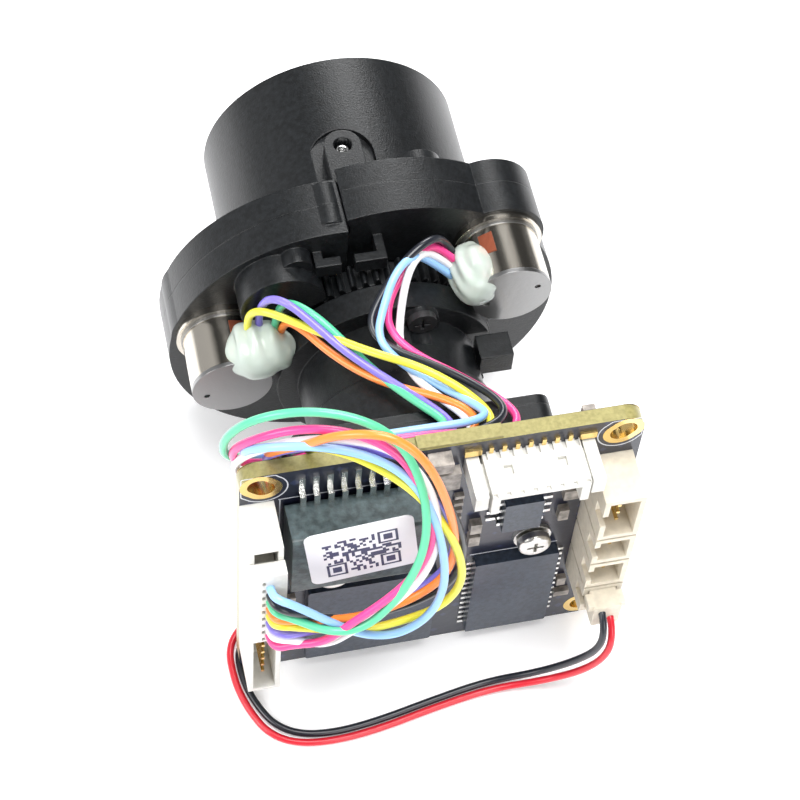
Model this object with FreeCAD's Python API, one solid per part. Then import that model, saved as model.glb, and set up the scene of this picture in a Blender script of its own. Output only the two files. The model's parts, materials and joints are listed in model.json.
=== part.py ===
import FreeCAD, Part
import math
import os

V = FreeCAD.Vector
os.makedirs("parts", exist_ok=True)

# Part frame in millimetres: the lens looks along +Y, the board's component face is y = 0,
# the board's centre is x = z = 0 and +Z is up. Angles are measured in the XZ plane from +X to +Z.

# ---- driving dimensions ----
BOARD = 38.0                 # square camera board
BOARD_T = 1.6
BOARD_R = 2.0                # corner radius
HOLE_PITCH = 34.0            # board mounting holes
HOLE_R = 1.1
TOP_SLOT = 0.7               # centre-to-centre length of the two upper slots
MOUNT_PITCH = 20.0           # lens-mount screws
MOUNT_HOLE_R = 1.1

BASE_Y1 = 7.4                # lens mount: rear box, then the cover with its collar
COVER_Y1 = 8.4
COLLAR_Y1 = 15.0
COLLAR_R = 9.6
BASE_X = (-12.6, 12.6)
BASE_Z = (-8.0, 12.0)
BEAM_R = 3.15                # light path through the filter housing
SPIGOT_R = 7.6

REAR_R = 9.2                 # rear barrel
REAR_BORE = 8.6
FLANGE_R = 11.3              # its front flange
FLANGE_Y = (21.0, 24.0)
GUIDE_R = 7.5                # slotted guide tube that holds both lens groups
GUIDE_BORE = 6.6
GUIDE_Y = (13.0, 41.0)

RING_BORE = 7.56             # both cam rings run on the guide tube
RING_R = 8.4
ZOOM_RING_Y = (15.9, 29.2)
ZOOM_GEAR_Y = (24.7, 27.2)
FOCUS_RING_Y = (29.4, 41.0)
FOCUS_GEAR_Y = (32.4, 33.9)
ZOOM_TURN = 110.0
ZOOM_TRAVEL = 5.0
FOCUS_TURN = 120.0
FOCUS_TRAVEL = 2.4

BARREL_R = 13.65             # front barrel
BARREL_BORE = 12.4
BARREL_Y = (34.2, 51.3)

LEFT_ARC = (-4.3, -1.0, 17.0)     # gearcase outline: arc centre x, z and radius
RIGHT_ARC = (1.5, -1.0, 17.9)
LEFT_CASE_Y = (27.5, 31.0, 34.0)  # rear face, parting line, front face
RIGHT_CASE_Y = (28.6, 32.2, 35.0)
SPLIT_X = -3.2
WALL = 0.8

FINE = 0.3                   # gear modules
COARSE = 0.4
PINION_TEETH = 10
WHEEL_1_TEETH = 22
WHEEL_2_TEETH = 24
OUTPUT_TEETH = 16
RING_TEETH = 54
BACKLASH = 0.10
STAGE_1 = FINE * (PINION_TEETH + WHEEL_1_TEETH) / 2
STAGE_2 = FINE * (PINION_TEETH + WHEEL_2_TEETH) / 2
STAGE_3 = COARSE * (OUTPUT_TEETH + RING_TEETH) / 2
PIN_R = 0.5
RUNNING = 0.05               # radial running clearance

CAN_R = 4.05                 # stepper motors
CAN_LENGTH = 7.0
CAN_RING_R = 4.6
SHAFT_R = 0.5

WIRE_D = 0.8                 # motor leads
FILTER_WIRE_D = 0.75         # infrared-filter leads
SOCKET_PITCH = 1.25


# ---- helpers ----
def box(x0, x1, y0, y1, z0, z1):
    return Part.makeBox(x1 - x0, y1 - y0, z1 - z0, V(x0, y0, z0))


def rod(x, z, r, y0, y1):
    return Part.makeCylinder(r, y1 - y0, V(x, y0, z), V(0, 1, 0))


def tube(x, z, outer, inner, y0, y1):
    return rod(x, z, outer, y0, y1).cut(rod(x, z, inner, y0 - 1, y1 + 1))


def fuse(shapes):
    return shapes[0].multiFuse(shapes[1:]).removeSplitter() if len(shapes) > 1 else shapes[0]


def rounded(x0, x1, y0, y1, z0, z1, r, axis="y"):
    """A box with its four edges along one axis rounded."""
    solid = box(x0, x1, y0, y1, z0, z1)
    along = {"x": V(1, 0, 0), "y": V(0, 1, 0), "z": V(0, 0, 1)}[axis]
    edges = [e for e in solid.Edges if abs(abs(e.tangentAt(e.FirstParameter).dot(along)) - 1) < 1e-6]
    return solid.makeFillet(r, edges)


def polar(r, degrees):
    a = math.radians(degrees)
    return r * math.cos(a), r * math.sin(a)


def save(name, shapes):
    solids = []
    for shape in shapes if isinstance(shapes, list) else [shapes]:
        solids += shape.Solids
    for solid in solids:
        if not solid.isValid() or solid.Volume < 1e-4:
            print("BAD SOLID", name, solid.Volume)
    Part.makeCompound(solids).exportStep("parts/%s.step" % name)
    SAVED[name] = solids


SAVED = {}


# ---- gears ----
def gear(x, z, teeth, module, y0, y1, turn, bore=0.0):
    """Spur gear with straight-sided teeth; turn is the angle of one tooth's middle in radians."""
    pitch_r = teeth * module / 2
    tip_r = pitch_r + 0.85 * module
    root_r = pitch_r - 1.1 * module
    pitch_half = (math.pi * module / 2 - BACKLASH) / 2 / pitch_r
    tip_half = pitch_half - 0.85 * module * math.tan(math.radians(24)) / pitch_r
    root_half = pitch_half + 0.40 * module * math.tan(math.radians(20)) / pitch_r
    points = []
    for k in range(teeth):
        middle = turn + 2 * math.pi * k / teeth
        for r, half in ((root_r, -root_half), (pitch_r, -pitch_half), (tip_r, -tip_half),
                        (tip_r, tip_half), (pitch_r, pitch_half), (root_r, root_half)):
            points.append(V(x + r * math.cos(middle + half), y0, z + r * math.sin(middle + half)))
    blank = Part.Face(Part.makePolygon(points + points[:1])).extrude(V(0, y1 - y0, 0))
    return blank.cut(rod(x, z, bore, y0 - 1, y1 + 1)) if bore else blank


def mesh_turn(from_x, from_z, from_teeth, from_turn, to_x, to_z, to_teeth):
    """The turn that puts the second gear's gap opposite the first gear's tooth."""
    line = math.atan2(to_z - from_z, to_x - from_x)
    phase = (line - from_turn) * from_teeth / (2 * math.pi)
    return line + math.pi - 2 * math.pi / to_teeth * (0.5 - phase)


def between(ax, az, ra, bx, bz, rb, side):
    """The point ra from a and rb from b, on one side of the line a to b."""
    d = math.hypot(bx - ax, bz - az)
    along = (ra * ra - rb * rb + d * d) / (2 * d)
    off = side * math.sqrt(ra * ra - along * along)
    ux, uz = (bx - ax) / d, (bz - az) / d
    return ax + along * ux - off * uz, az + along * uz + off * ux


class Drive:
    """One motor, its two compound gears and the ring that they turn."""

    def __init__(self, name, motor, output_angle, side, case_y, ring_y, wheel_2_y, wheel_1_y):
        self.name = name
        self.motor = motor
        self.output = polar(STAGE_3, output_angle)
        self.first = between(*motor, STAGE_1, *self.output, STAGE_2, side)
        self.case_y = case_y
        self.ring_y = ring_y
        self.wheel_2_y = wheel_2_y
        self.wheel_1_y = wheel_1_y
        self.ring_turn = 0.0
        self.output_turn = mesh_turn(0, 0, RING_TEETH, self.ring_turn, *self.output, OUTPUT_TEETH)
        self.first_turn = mesh_turn(*self.output, WHEEL_2_TEETH, 0.0, *self.first, PINION_TEETH)
        self.motor_turn = mesh_turn(*self.first, WHEEL_1_TEETH, 0.0, *motor, PINION_TEETH)

    def output_gear(self):
        x, z = self.output
        behind = self.ring_y[0] < self.wheel_2_y[0]
        pinion_y = ((self.ring_y[0] + 0.1, self.wheel_2_y[0]) if behind
                    else (self.wheel_2_y[1], self.ring_y[1] - 0.1))
        return fuse([gear(x, z, OUTPUT_TEETH, COARSE, *pinion_y, self.output_turn, PIN_R + RUNNING),
                     gear(x, z, WHEEL_2_TEETH, FINE, *self.wheel_2_y, 0.0, PIN_R + RUNNING)])

    def first_gear(self):
        x, z = self.first
        behind = self.wheel_2_y[0] < self.wheel_1_y[0]
        pinion_y = ((self.wheel_2_y[0], self.wheel_1_y[0]) if behind
                    else (self.wheel_1_y[1], self.wheel_2_y[1]))
        return fuse([gear(x, z, PINION_TEETH, FINE, *pinion_y, self.first_turn, PIN_R + RUNNING),
                     gear(x, z, WHEEL_1_TEETH, FINE, *self.wheel_1_y, 0.0, PIN_R + RUNNING)])

    def pins(self):
        """The two fixed steel pins that the compound gears turn on."""
        y0 = self.case_y[0]
        y_first = 24.3 if self is ZOOM else y0 + 0.3
        return [rod(*self.first, PIN_R, y0 + 0.3, 34.0), rod(*self.output, PIN_R, y_first, 34.0)]

    def rotor(self):
        x, z = self.motor
        y0 = self.case_y[0]
        magnet = rod(x, z, 1.9, y0 - CAN_LENGTH + 1.4, y0 - 1.6)
        shaft = rod(x, z, SHAFT_R, y0 - CAN_LENGTH + 0.9, self.wheel_1_y[1] + 0.3)
        pinion = gear(x, z, PINION_TEETH, FINE, self.wheel_1_y[0] - 0.2, self.wheel_1_y[1] + 0.2,
                      self.motor_turn)
        return fuse([magnet, shaft, pinion])


ZOOM = Drive("zoom", (-16.0, 2.2), 137.0, -1, LEFT_CASE_Y, ZOOM_GEAR_Y, (28.8, 30.2), (30.9, 32.0))
FOCUS = Drive("focus", (12.4, 9.6), 1.0, -1, RIGHT_CASE_Y, FOCUS_GEAR_Y, (31.4, 32.3), (30.2, 31.1))
for drive in (ZOOM, FOCUS):
    print(drive.name, "first gear", [round(v, 2) for v in drive.first],
          "output gear", [round(v, 2) for v in drive.output])


# ---- camera board ----
def corner_slot(side):
    """The two upper holes are short slots that run towards the corners."""
    slot = fuse([box(-TOP_SLOT / 2, TOP_SLOT / 2, -1, BOARD_T + 1, -HOLE_R, HOLE_R),
                 rod(-TOP_SLOT / 2, 0, HOLE_R, -1, BOARD_T + 1), rod(TOP_SLOT / 2, 0, HOLE_R, -1, BOARD_T + 1)])
    slot.rotate(V(0, 0, 0), V(0, -1, 0), 45 if side > 0 else 135)
    slot.translate(V(side * HOLE_PITCH / 2, 0, HOLE_PITCH / 2))
    return slot


def make_board():
    half = BOARD / 2
    board = rounded(-half, half, 0, BOARD_T, -half, half, BOARD_R)
    tab = box(-2.6, 5.4, 0.1, BOARD_T - 0.1, half - 0.1, half + 0.35)
    board = fuse([board, tab])
    for sx in (-1, 1):
        for sz in (-1, 1):
            x, z = sx * HOLE_PITCH / 2, sz * HOLE_PITCH / 2
            board = board.cut(rod(x, z, HOLE_R, -1, BOARD_T + 1))
            if sz > 0:
                board = board.cut(corner_slot(sx))
        board = board.cut(rod(sx * MOUNT_PITCH / 2, 0, MOUNT_HOLE_R, -1, BOARD_T + 1))
    save("main_board", board)


def gull_lead(x, z, away, side_y, width, reach):
    """A lead that leaves a chip body along +-Z, drops to the board and ends in a foot."""
    a = away
    z_a, z_b, z_c = z, z + a * 0.45 * reach, z + a * reach
    upper = box(x - width / 2, x + width / 2, side_y - 0.12, side_y + 0.12, min(z_a, z_b), max(z_a, z_b))
    drop = box(x - width / 2, x + width / 2, side_y - 0.12, 0.0, min(z_b, z_b - a * 0.2), max(z_b, z_b - a * 0.2))
    foot = box(x - width / 2, x + width / 2, -0.2, 0.0, min(z_b - a * 0.2, z_c), max(z_b - a * 0.2, z_c))
    return fuse([upper, drop, foot])


TRANSFORMER = (-14.9, -2.5, -4.55, -0.25, 4.4, 13.9)     # x0, x1, y0, y1, z0, z1
PROCESSOR = (-12.4, 0.6, -1.3, 0.0, -16.6, -2.6)
MEMORY = (4.4, 12.9, -1.2, 0.0, -16.9, -2.8)
REGULATOR = (6.2, 10.0, -1.6, -0.1, 4.0, 9.0)


def make_chips():
    save("transformer_body", rounded(*TRANSFORMER, 0.4, "x"))
    save("processor_chip", rounded(*PROCESSOR, 0.3))
    save("memory_chip", rounded(*MEMORY, 0.2))
    save("regulator_chip", rounded(*REGULATOR, 0.2))
    leads = []
    x0, x1, y0, y1, z0, z1 = TRANSFORMER
    for k in range(8):
        x = (x0 + x1) / 2 + (k - 3.5) * 1.3
        leads.append(gull_lead(x, z1 - 0.05, 1, -0.8, 0.55, 3.9))
        leads.append(gull_lead(x, z0 + 0.05, -1, -0.8, 0.55, 1.6))
    x0, x1, y0, y1, z0, z1 = REGULATOR
    for k in range(4):
        z = (z0 + z1) / 2 + (k - 1.5) * 1.27
        for side, x in ((-1, x0), (1, x1)):
            foot = box(min(x, x + side * 1.3), max(x, x + side * 1.3), -0.25, 0, z - 0.22, z + 0.22)
            rise = box(min(x, x + side * 0.4), max(x, x + side * 0.4), -0.95, 0, z - 0.22, z + 0.22)
            leads.append(fuse([foot, rise]))
    x0, x1, y0, y1, z0, z1 = MEMORY
    for k in range(13):
        z = z0 + 0.85 + k * 1.03
        for side, x in ((-1, x0), (1, x1)):
            leads.append(box(min(x, x + side * 0.7), max(x, x + side * 0.7), -0.3, 0, z - 0.2, z + 0.2))
    save("chip_leads", leads)
    x0, x1, y0, y1, z0, z1 = TRANSFORMER
    label = rounded(-5.1, 5.1, y0 - 0.1, y0, -4.7, 4.7, 0.9)
    label.rotate(V(0, 0, 0), V(0, -1, 0), 7.0)
    label.translate(V(-8.4, 0, 10.8))
    save("barcode_label", label)


def make_passives():
    """Capacitors and resistors on the component face, and a few on the lens side."""
    parts = []
    for x, z, w, h, t in ((-0.6, 17.6, 2.2, 1.5, 1.5), (0.1, 14.2, 2.8, 2.8, 1.0),
                          (3.9, 4.0, 1.1, 1.7, 0.8), (3.9, 1.6, 1.1, 1.7, 0.8),
                          (13.0, 7.9, 1.6, 1.6, 0.9), (12.6, 4.0, 1.0, 1.8, 0.8),
                          (14.1, -10.4, 0.9, 1.4, 0.6), (14.4, -13.0, 1.6, 0.9, 0.6), (16.6, -10.6, 0.8, 1.6, 0.6),
                          (-13.9, -5.0, 0.8, 1.4, 0.6), (-13.9, -8.6, 0.8, 1.4, 0.6),
                          (-13.9, -12.2, 0.8, 1.4, 0.6)):
        parts.append(box(x - w / 2, x + w / 2, -t, 0, z - h / 2, z + h / 2))
    for k in range(4):
        parts.append(box(-7.9 + 1.15 * k, -7.3 + 1.15 * k, -0.5, 0, -2.0, -1.0))
    for k in range(6):
        z = 10.2 - 1.3 * k
        parts.append(box(1.4, 2.3, -0.5, 0, z - 0.25, z + 0.25))
    for x, z, w, h in ((14.0, 18.2, 1.2, 0.9), (10.2, 16.4, 1.8, 1.2), (-13.5, 15.0, 1.6, 0.9),
                       (15.6, -12.0, 1.1, 2.0), (-15.2, -10.0, 1.1, 2.0)):
        parts.append(box(x - w / 2, x + w / 2, BOARD_T, BOARD_T + 0.8, z - h / 2, z + h / 2))
    save("passives", parts)


# ---- connectors ----
def socket(x0, x1, y_mouth, z0, z1, wall=0.55, floor=1.0):
    """A header shell standing off the board, its mouth facing away from the board."""
    shell = box(x0, x1, y_mouth, 0, z0, z1)
    return shell.cut(box(x0 + wall, x1 - wall, y_mouth - 1, -floor, z0 + wall, z1 - wall))


LEFT_X = (-19.0, -15.8)
LEFT_Z = (-14.2, 14.4)
LEFT_MOUTH_Y = -5.0
RIGHT_X = (14.4, 18.4)
RIGHT_MOUTH_Y = -5.3
RIGHT_Z = ((6.4, 13.3), (1.7, 6.1), (-3.1, 1.4), (-8.0, -3.4))
TOP_HEADER = (3.4, 12.7, -4.8, 12.6, 17.1)          # x0, x1, mouth y, z0, z1
PLUG_WAYS = 8
PLUG_PITCH = 1.36
PLUG_FIRST_Z = 0.6
PLUG_Z = (-0.6, 12.2)
PLUG_FACE_Y = -6.5
FILTER_PLUG_Y = -7.4


def make_connectors():
    save("motor_header", socket(*LEFT_X, LEFT_MOUTH_Y, *LEFT_Z, 0.5))
    x0, x1, y_mouth, z0, z1 = TOP_HEADER
    shell = socket(x0, x1, y_mouth, z0, z1, 0.8)
    shell = shell.cut(box(x0 + 0.8, x1 - 0.8, y_mouth - 1, -1.6, z0 - 1, z0 + 1))
    shell = shell.cut(box(x0 - 1, x1 + 1, y_mouth - 1, -1.6, z0 - 1, z0 + 1.3))
    for k in range(8):
        x = (x0 + x1) / 2 + (k - 3.5) * SOCKET_PITCH
        shell = shell.cut(box(x - 0.2, x + 0.2, -0.9, 1, z1 - 0.35, z1 + 1))
        shell = shell.cut(box(x - 0.2, x + 0.2, y_mouth - 1, y_mouth + 0.3, z1 - 0.35, z1 + 1))
    for x in (x0 + 2.1, x1 - 2.1):
        shell = shell.cut(box(x - 0.42, x + 0.42, -2.7, -1.7, z1 - 0.5, z1 + 1))
    ears = [box(x0 - 1.5, x0 - 0.25, y_mouth + 0.2, 0, z0 + 2.0, z1 - 0.3),
            box(x1 + 0.25, x1 + 1.5, y_mouth + 0.2, 0, z0 + 2.0, z1 - 0.3),
            box(x0 - 0.3, x0 + 0.1, -3.9, -0.8, z0 + 2.4, z1 - 0.7), box(x1 - 0.1, x1 + 0.3, -3.9, -0.8, z0 + 2.4, z1 - 0.7)]
    save("top_header", fuse([shell] + ears))
    shells = []
    for z0h, z1h in RIGHT_Z:
        shell = socket(*RIGHT_X, RIGHT_MOUTH_Y, z0h, z1h)
        middle = (z0h + z1h) / 2
        shells.append(shell.cut(box(RIGHT_X[0] - 1, RIGHT_X[0] + 0.7, -6, -3.4, middle - 0.9, middle + 0.9)))
    save("side_headers", shells)
    pins = []

    def pin(x, z, tip=-4.2):
        pins.append(box(x - 0.16, x + 0.16, tip, -1.0, z - 0.16, z + 0.16))

    pin(-18.0, 12.9)
    for k in range(2, 10):
        pin(-17.4, PLUG_FIRST_Z - PLUG_PITCH * k)
    for k in range(7):
        pin((x0 + x1) / 2 + (k - 3) * SOCKET_PITCH, 14.6, -3.2)
        tail_x = (x0 + x1) / 2 + (k - 3) * SOCKET_PITCH
        pins.append(box(tail_x - 0.2, tail_x + 0.2, -0.25, 0, z1, z1 + 0.9))
    for n, (z0h, z1h) in enumerate(RIGHT_Z[:3]):
        ways = (4, 2, 2)[n]
        for k in range(ways):
            pin(16.4, (z0h + z1h) / 2 + (k - (ways - 1) / 2) * SOCKET_PITCH)
    for x in (x0 - 1.6, x1 + 0.0):
        pins.append(box(x, x + 1.6, -0.3, 0, z1, z1 + 0.9))
    save("header_pins", pins)
    plug = fuse([box(LEFT_X[0], LEFT_X[1] + 0.1, PLUG_FACE_Y, LEFT_MOUTH_Y - 0.02, *PLUG_Z),
                 box(LEFT_X[0] + 0.6, LEFT_X[1] - 0.6, LEFT_MOUTH_Y - 0.5, -1.3, PLUG_Z[0] + 0.8, PLUG_Z[1] - 1.8)])
    for k in range(PLUG_WAYS + 1):
        z = PLUG_FIRST_Z + PLUG_PITCH * (k - 0.5)
        plug = plug.cut(box(-18.0, -17.7, PLUG_FACE_Y - 1, PLUG_FACE_Y + 0.5, z - 0.3, z + 0.3))
    save("motor_plug", plug)
    z0h, z1h = RIGHT_Z[3]
    plug = fuse([rounded(RIGHT_X[0] + 0.6, RIGHT_X[1] - 0.6, FILTER_PLUG_Y, -1.3, z0h + 0.6, z1h - 0.6, 0.25),
                 box(RIGHT_X[0] + 0.1, RIGHT_X[1] - 0.1, FILTER_PLUG_Y + 0.3, -5.6, z1h - 1.4, z1h - 0.6)])
    save("filter_plug", plug)


# ---- image sensor, lens mount and infrared filter ----
FILTER_PIVOT = (-9.2, 6.72)
FILTER_ARM = 6.3
FILTER_SWING = 34.0
FILTER_TRAVEL = 2 * FILTER_ARM * math.sin(math.radians(FILTER_SWING))


def make_mount():
    package = rounded(-6.2, 6.2, BOARD_T, BOARD_T + 1.3, -5.6, 5.6, 0.4)
    package = package.cut(box(-4.6, 4.6, BOARD_T + 0.5, 10, -3.9, 3.9))
    die = box(-3.2, 3.2, BOARD_T + 0.5, BOARD_T + 0.8, -1.9, 1.9)
    save("image_sensor", [fuse([package, die]),
                          rounded(-5.0, 5.0, BOARD_T + 1.3, BOARD_T + 1.7, -4.3, 4.3, 0.3)])

    block = rounded(*BASE_X, BOARD_T, BASE_Y1, *BASE_Z, 1.5)
    block = block.cut(box(-7.0, 7.0, 0, 4.1, -6.4, 6.4))
    block = block.cut(rod(0, 0, BEAM_R + 0.9, 3.9, 5.2))
    block = block.cut(box(-5.8, 4.3, 5.0, 10, -4.4, 11.2))
    block = block.cut(box(-12.0, -5.0, 5.0, 10, 2.7, 11.2))
    for sx in (-1, 1):
        block = block.cut(rod(sx * MOUNT_PITCH / 2, 0, 0.8, 0, 6.6))
    save("lens_mount", block)

    cover = rounded(*BASE_X, BASE_Y1, COVER_Y1, *BASE_Z, 1.5)
    collar = rod(0, 0, COLLAR_R, COVER_Y1, COLLAR_Y1).cut(rod(0, 0, SPIGOT_R + 0.05, COVER_Y1, COLLAR_Y1 + 1))
    save("mount_cover", fuse([cover, collar]).cut(rod(0, 0, BEAM_R + 0.6, 0, COVER_Y1 + 1)))

    screws = []
    for sx in (-1, 1):
        x = sx * MOUNT_PITCH / 2
        shank = rod(x, 0, 0.78, -0.6, 6.0)
        washer = tube(x, 0, 1.9, 0.79, -0.45, 0)
        head = Part.makeCylinder(1.65, 1.0, V(x, -1.7, 0), V(0, 1, 0))
        head = head.makeFillet(0.45, [e for e in head.Edges if abs(e.BoundBox.YMin + 1.7) < 0.01
                                      and abs(e.BoundBox.YMax + 1.7) < 0.01])
        recess = fuse([box(x - 0.85, x + 0.85, -2, -1.15, -0.17, 0.17), box(x - 0.17, x + 0.17, -2, -1.15, -0.85, 0.85)])
        screws += [fuse([head, shank]).cut(recess), washer]
    save("mount_screws", screws)

    blade = rounded(-5.3, 3.8, 6.05, 6.85, -3.9, 4.0, 0.5)
    blade = blade.cut(rod(0, 0, 3.0, 5, 8)).cut(box(-4.75, -2.35, 5, 8, 3.2 - 0.58, 3.2 + 0.58))
    save("filter_blade", blade)
    save("filter_glass", rod(0, 0, 3.0, 6.15, 6.75))

    px, pz = FILTER_PIVOT
    magnet = rod(px, pz, 1.6, 5.25, 7.0)
    arm = box(px, px + FILTER_ARM, 5.25, 5.8, pz - 0.4, pz + 0.4)
    finger = rod(px + FILTER_ARM, pz, 0.4, 5.25, 6.9)
    tip = rod(px + FILTER_ARM, pz, 0.55, 5.25, 5.8)
    lever = fuse([magnet, arm, tip, finger])
    lever.rotate(V(px, 0, pz), V(0, -1, 0), -FILTER_SWING)
    save("filter_lever", lever.cut(rod(px, pz, 0.45 + RUNNING, 0, 10)))

    yoke = [box(-11.9, -7.9, 5.1, 7.2, 8.7, 11.0), box(-11.9, -11.3, 5.1, 7.2, 4.8, 8.7),
            box(-11.9, -7.6, 5.1, 7.2, 2.9, 4.8)]
    save("filter_coil", [fuse(yoke), rod(px, pz, 0.45, 5.0, BASE_Y1)])


# ---- lens body ----
def cam_ring(ring_y, gear_y, turn, travel, pin_y, pin_angle):
    """A geared ring with three cam slots, each cut as a row of round drillings along its helix."""
    ring = rod(0, 0, RING_R, *ring_y)
    ring = fuse([ring, gear(0, 0, RING_TEETH, COARSE, *gear_y, 0.0)]).cut(rod(0, 0, RING_BORE, 0, 60))
    steps = 28
    for n in range(3):
        start = pin_angle + 120 * n
        cuts = []
        for k in range(steps + 1):
            x, z = polar(1.0, start - turn * k / steps)
            y = pin_y + travel * k / steps
            cuts.append(Part.makeCylinder(0.62, 12, V(0, y, 0), V(x, 0, z)))
        ring = ring.cut(cuts[0].multiFuse(cuts[1:]))
    return ring


def lens_cell(y0, y1, bore, pin_y, pin_angle):
    cell = tube(0, 0, GUIDE_BORE - RUNNING, bore, y0, y1)
    pins = []
    for n in range(3):
        x, z = polar(1.0, pin_angle + 120 * n)
        start = V(x * (bore + 0.4), pin_y, z * (bore + 0.4))
        pins.append(Part.makeCylinder(0.5, RING_R - 0.2 - bore - 0.4, start, V(x, 0, z)))
    return fuse([cell] + pins)


def lens(r, y0, y1, bulge_rear, bulge_front):
    """A round lens: flat rim from y0 to y1 with spherical caps that bulge out by the given heights."""
    shape = rod(0, 0, r, y0, y1)
    for bulge, y, sign in ((bulge_rear, y0, -1), (bulge_front, y1, 1)):
        if bulge > 0:
            sphere_r = (r * r + bulge * bulge) / (2 * bulge)
            ball = Part.makeSphere(sphere_r, V(0, y + sign * (bulge - sphere_r), 0))
            near, far = sorted((y - sign * 0.01, y + sign * (bulge + 1)))
            shape = shape.fuse(ball.common(rod(0, 0, r, near, far)))
        elif bulge < 0:
            hollow = -bulge
            edge = r - 0.4
            sphere_r = (edge * edge + hollow * hollow) / (2 * hollow)
            shape = shape.cut(Part.makeSphere(sphere_r, V(0, y + sign * (sphere_r - hollow), 0)))
    return shape.removeSplitter()


ZOOM_PIN_Y = 18.2
ZOOM_PIN_ANGLE = 90.0
FOCUS_PIN_Y = 35.6
FOCUS_PIN_ANGLE = 60.0
FRONT_CELL_R = 11.6


def guide_slot(angle, y0, y1):
    slot = box(0, 12, y0, y1, -0.6, 0.6)
    slot.rotate(V(0, 0, 0), V(0, -1, 0), angle)
    return slot


def make_optics():
    guide = tube(0, 0, GUIDE_R, GUIDE_BORE, *GUIDE_Y)
    for n in range(3):
        guide = guide.cut(guide_slot(ZOOM_PIN_ANGLE + 120 * n, ZOOM_PIN_Y - 0.7, ZOOM_PIN_Y + ZOOM_TRAVEL + 0.7))
        guide = guide.cut(guide_slot(FOCUS_PIN_ANGLE + 120 * n, FOCUS_PIN_Y - 0.7, FOCUS_PIN_Y + FOCUS_TRAVEL + 0.7))
    lip = tube(0, 0, RING_R, GUIDE_R - 0.2, GUIDE_Y[1] + 0.1, GUIDE_Y[1] + 0.7)
    save("guide_tube", fuse([guide, tube(0, 0, GUIDE_R, GUIDE_BORE, GUIDE_Y[1] - 0.1, GUIDE_Y[1] + 0.7), lip]))

    save("zoom_ring", cam_ring(ZOOM_RING_Y, ZOOM_GEAR_Y, ZOOM_TURN, ZOOM_TRAVEL, ZOOM_PIN_Y, ZOOM_PIN_ANGLE))
    save("focus_ring", cam_ring(FOCUS_RING_Y, FOCUS_GEAR_Y, FOCUS_TURN, FOCUS_TRAVEL, FOCUS_PIN_Y, FOCUS_PIN_ANGLE))

    save("zoom_cell", lens_cell(16.0, 22.4, 5.4, ZOOM_PIN_Y, ZOOM_PIN_ANGLE))
    save("zoom_lenses", [lens(5.4, 16.6, 17.8, 0.5, 0.0), lens(5.4, 20.2, 21.4, 0.0, 0.6)])

    cell = lens_cell(33.6, 41.6, 5.4, FOCUS_PIN_Y, FOCUS_PIN_ANGLE)
    cup = rod(0, 0, FRONT_CELL_R, 42.2, 46.2).cut(rod(0, 0, 9.6, 43.4, 47))
    neck = rod(0, 0, GUIDE_BORE - RUNNING, 41.0, 43.0)
    save("focus_cell", fuse([cell, neck, cup]).cut(rod(0, 0, 5.4, 30, 50)))
    save("front_lenses", [lens(5.4, 34.4, 35.6, -0.4, 0.0), lens(5.4, 38.6, 40.0, 0.4, 0.0),
                          lens(9.6, 43.6, 44.9, 0.0, 1.6)])
    save("front_lens_ring", tube(0, 0, 10.6, 9.0, 46.2, 46.8).fuse(tube(0, 0, 9.58, 9.0, 45.2, 46.25)).removeSplitter())


def make_rear_barrel():
    barrel = rod(0, 0, REAR_R, COLLAR_Y1, FLANGE_Y[0])
    flange = rod(0, 0, FLANGE_R, *FLANGE_Y)
    spigot = rod(0, 0, SPIGOT_R, 9.6, COLLAR_Y1 + 0.5)
    tab = box(8.6, 12.0, 17.4, 20.2, 2.6, 5.4)
    body = fuse([barrel, flange, spigot, tab])
    body = body.cut(rod(0, 0, REAR_BORE, COLLAR_Y1 + 0.8, 30))
    body = body.cut(rod(0, 0, GUIDE_R, 13.0, 30)).cut(rod(0, 0, 6.0, 9, 14))
    # a shelf is cut into the flange below the screw boss, and the boss stands on its rear face
    body = body.cut(box(5.2, 14, 20.9, 22.4, -4.0, 4.6))
    body = fuse([body, rod(2.8, 9.0, 1.9, 20.2, 21.2).cut(rod(0, 0, REAR_BORE, 19, 22))])
    body = body.cut(rod(2.8, 9.9, 0.6, 20.0, 23.2)).cut(rod(2.8, 9.9, 1.55, 18.0, 20.2))
    save("rear_barrel", body)


def outline(arc, motor, shrink=0.0):
    """The gearcase's solid outline: a big disc joined to a rounded end over the motor."""
    x, z, r = arc
    mx, mz = motor
    big = rod(x, z, r - shrink, 0, 60)
    end = rod(mx, mz, 5.0 - shrink, 0, 60)
    return big.fuse(end)


BOSS_X = -1.5                # spring boss on top of the front barrel
BOSS_Y = 38.8
BOSS_TOP = 15.2
CENTRE_BOSS = (-4.6, 14.6, 1.7)   # screw boss between the two gearcases: x, z and radius
HUMP = (5.5, 13.2, 2.6)           # rounded step beside the front barrel
GEAR_HOLE_R = 11.5           # round opening in both front shells, clear of the focus ring gear


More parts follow.
